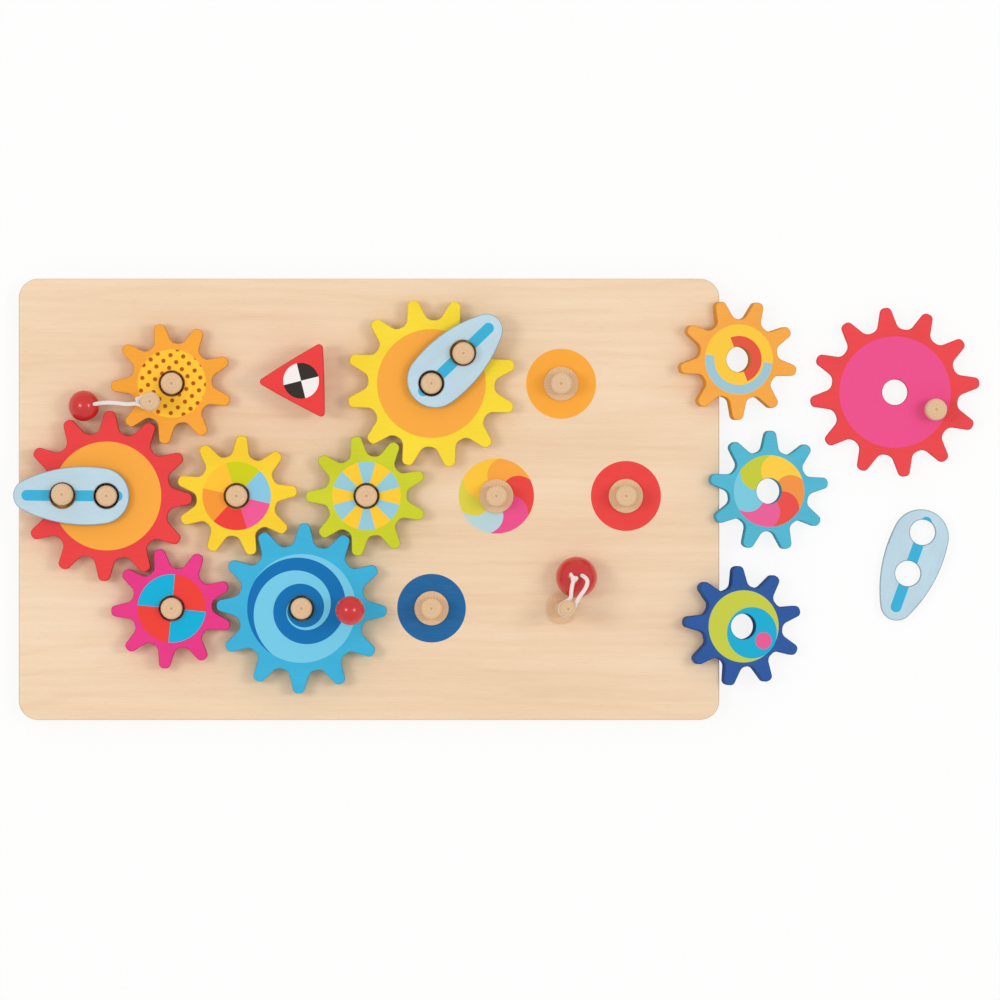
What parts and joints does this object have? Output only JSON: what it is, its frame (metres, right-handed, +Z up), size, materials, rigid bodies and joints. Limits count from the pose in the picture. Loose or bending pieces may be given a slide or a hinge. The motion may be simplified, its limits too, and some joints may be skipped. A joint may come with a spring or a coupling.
{
  "type": "wooden crank gear toy",
  "caption": "Wooden board with pegs carrying toothed gears in mesh, turned by a crank knob, with pointers, a triangle spinner, balls on cords and spare gears.",
  "frame": {"origin": "centre of the board's underside", "axes": "+X along the board's length towards the spare set, +Y across the board, +Z up out of the board"},
  "size_m": [0.551, 0.252, 0.049],
  "materials": {
    "birch_board": "clear matt varnish",
    "turned_wood": "bare beech, waxed",
    "orange_paint": "satin painted",
    "red_paint": "satin painted",
    "yellow_paint": "satin painted",
    "magenta_paint": "satin painted",
    "blue_paint": "satin painted",
    "lime_paint": "satin painted",
    "teal_paint": "satin painted",
    "navy_paint": "satin painted",
    "pale_blue_paint": "satin painted",
    "red_gloss": "gloss painted",
    "cord": "braided cotton"
  },
  "bodies": {
    "board": {"board": "birch_board", "peg_of_orange_gear": "turned_wood", "peg_of_red_gear": "turned_wood", "peg_of_yellow_gear": "turned_wood", "peg_of_magenta_gear": "turned_wood", "peg_of_blue_gear": "turned_wood", "peg_of_lime_gear": "turned_wood", "peg_of_big_yellow_gear": "turned_wood", "bare_peg_orange_ring": "turned_wood", "bare_peg_swirl_ring": "turned_wood", "bare_peg_red_ring": "turned_wood", "bare_peg_blue_ring": "turned_wood", "spinner_axle": "turned_wood", "swing_post": "turned_wood"},
    "orange_gear": {"orange_gear": "orange_paint", "whirl_post": "turned_wood"},
    "red_gear": {"red_gear": "red_paint", "red_gear_drive_peg": "turned_wood"},
    "yellow_gear": {"yellow_gear": "yellow_paint"},
    "magenta_gear": {"magenta_gear": "magenta_paint"},
    "blue_gear": {"blue_gear": "blue_paint", "crank_stick": "turned_wood", "crank_ball": "red_gloss"},
    "lime_gear": {"lime_gear": "lime_paint"},
    "big_yellow_gear": {"big_yellow_gear": "yellow_paint", "big_yellow_gear_drive_peg": "turned_wood"},
    "red_gear_pointer": {"red_gear_pointer": "pale_blue_paint"},
    "big_yellow_gear_pointer": {"big_yellow_gear_pointer": "pale_blue_paint"},
    "triangle_spinner": {"triangle_spinner": "red_paint"},
    "whirl_ball": {"whirl_ball": "red_gloss", "whirl_cord": "cord"},
    "swing_ball": {"swing_ball": "red_gloss", "swing_cord": "cord"},
    "spare_orange_gear": {"spare_orange_gear": "orange_paint"},
    "spare_teal_gear": {"spare_teal_gear": "teal_paint"},
    "spare_navy_gear": {"spare_navy_gear": "navy_paint"},
    "spare_red_gear": {"spare_red_gear": "red_paint", "spare_drive_peg": "turned_wood"},
    "spare_pointer": {"spare_pointer": "pale_blue_paint"}
  },
  "joints": [
    {"name": "orange_gear_spin", "type": "hinge", "parent": "board", "child": "orange_gear", "pos_m": [-0.1123, 0.06599, 0.0168], "axis": [0, 0, -1], "continuous": true, "deforming": ["whirl_cord", "whirl_ball"]},
    {"name": "red_gear_spin", "type": "hinge", "parent": "board", "child": "red_gear", "pos_m": [-0.1493, 0.0019, 0.0168], "axis": [0, 0, -1], "continuous": true},
    {"name": "yellow_gear_spin", "type": "hinge", "parent": "board", "child": "yellow_gear", "pos_m": [-0.0753, 0.0019, 0.0168], "axis": [0, 0, -1], "continuous": true},
    {"name": "magenta_gear_spin", "type": "hinge", "parent": "board", "child": "magenta_gear", "pos_m": [-0.1123, -0.06219, 0.0168], "axis": [0, 0, -1], "continuous": true},
    {"name": "blue_gear_spin", "type": "hinge", "parent": "board", "child": "blue_gear", "pos_m": [-0.0383, -0.06219, 0.0168], "axis": [0, 0, -1], "continuous": true},
    {"name": "lime_gear_spin", "type": "hinge", "parent": "board", "child": "lime_gear", "pos_m": [-0.0013, 0.0019, 0.0168], "axis": [0, 0, -1], "continuous": true},
    {"name": "big_yellow_gear_spin", "type": "hinge", "parent": "board", "child": "big_yellow_gear", "pos_m": [0.0357, 0.06599, 0.0168], "axis": [0, 0, -1], "continuous": true},
    {"name": "triangle_spin", "type": "hinge", "parent": "board", "child": "triangle_spinner", "pos_m": [-0.0383, 0.06739, 0.02], "axis": [0, 0, 1], "continuous": true},
    {"name": "whirl_ball_swing", "type": "hinge", "parent": "orange_gear", "child": "whirl_ball", "pos_m": [-0.1237, 0.05548, 0.0423], "axis": [0, 0, 1], "range_deg": [-40, 0]},
    {"name": "swing_ball_swing", "type": "hinge", "parent": "board", "child": "swing_ball", "pos_m": [0.11289, -0.06219, 0.04033], "axis": [0, 0, 1], "range_deg": [-150, 150]},
    {"name": "red_gear_pointer_lift", "type": "slide", "parent": "red_gear", "child": "red_gear_pointer", "axis": [0, 0, 1], "range_m": [0, 0.03]},
    {"name": "big_yellow_gear_pointer_lift", "type": "slide", "parent": "big_yellow_gear", "child": "big_yellow_gear_pointer", "axis": [0, 0, 1], "range_m": [0, 0.03]},
    {"name": "spare_orange_gear_lift", "type": "slide", "parent": "board", "child": "spare_orange_gear", "axis": [0, 0, 1], "range_m": [0, 0.05]},
    {"name": "spare_teal_gear_lift", "type": "slide", "parent": "board", "child": "spare_teal_gear", "axis": [0, 0, 1], "range_m": [0, 0.05]},
    {"name": "spare_navy_gear_lift", "type": "slide", "parent": "board", "child": "spare_navy_gear", "axis": [0, 0, 1], "range_m": [0, 0.05]},
    {"name": "spare_red_gear_lift", "type": "slide", "parent": "board", "child": "spare_red_gear", "axis": [0, 0, 1], "range_m": [0, 0.05]},
    {"name": "spare_pointer_lift", "type": "slide", "parent": "board", "child": "spare_pointer", "axis": [0, 0, 1], "range_m": [0, 0.05]}
  ],
  "couplings": [
    {"joint": "red_gear_spin", "follows": "orange_gear_spin", "ratio": -0.75},
    {"joint": "blue_gear_spin", "follows": "orange_gear_spin", "ratio": -0.75},
    {"joint": "big_yellow_gear_spin", "follows": "orange_gear_spin", "ratio": -0.75},
    {"joint": "yellow_gear_spin", "follows": "orange_gear_spin", "ratio": 1},
    {"joint": "magenta_gear_spin", "follows": "orange_gear_spin", "ratio": 1},
    {"joint": "lime_gear_spin", "follows": "orange_gear_spin", "ratio": 1}
  ]
}
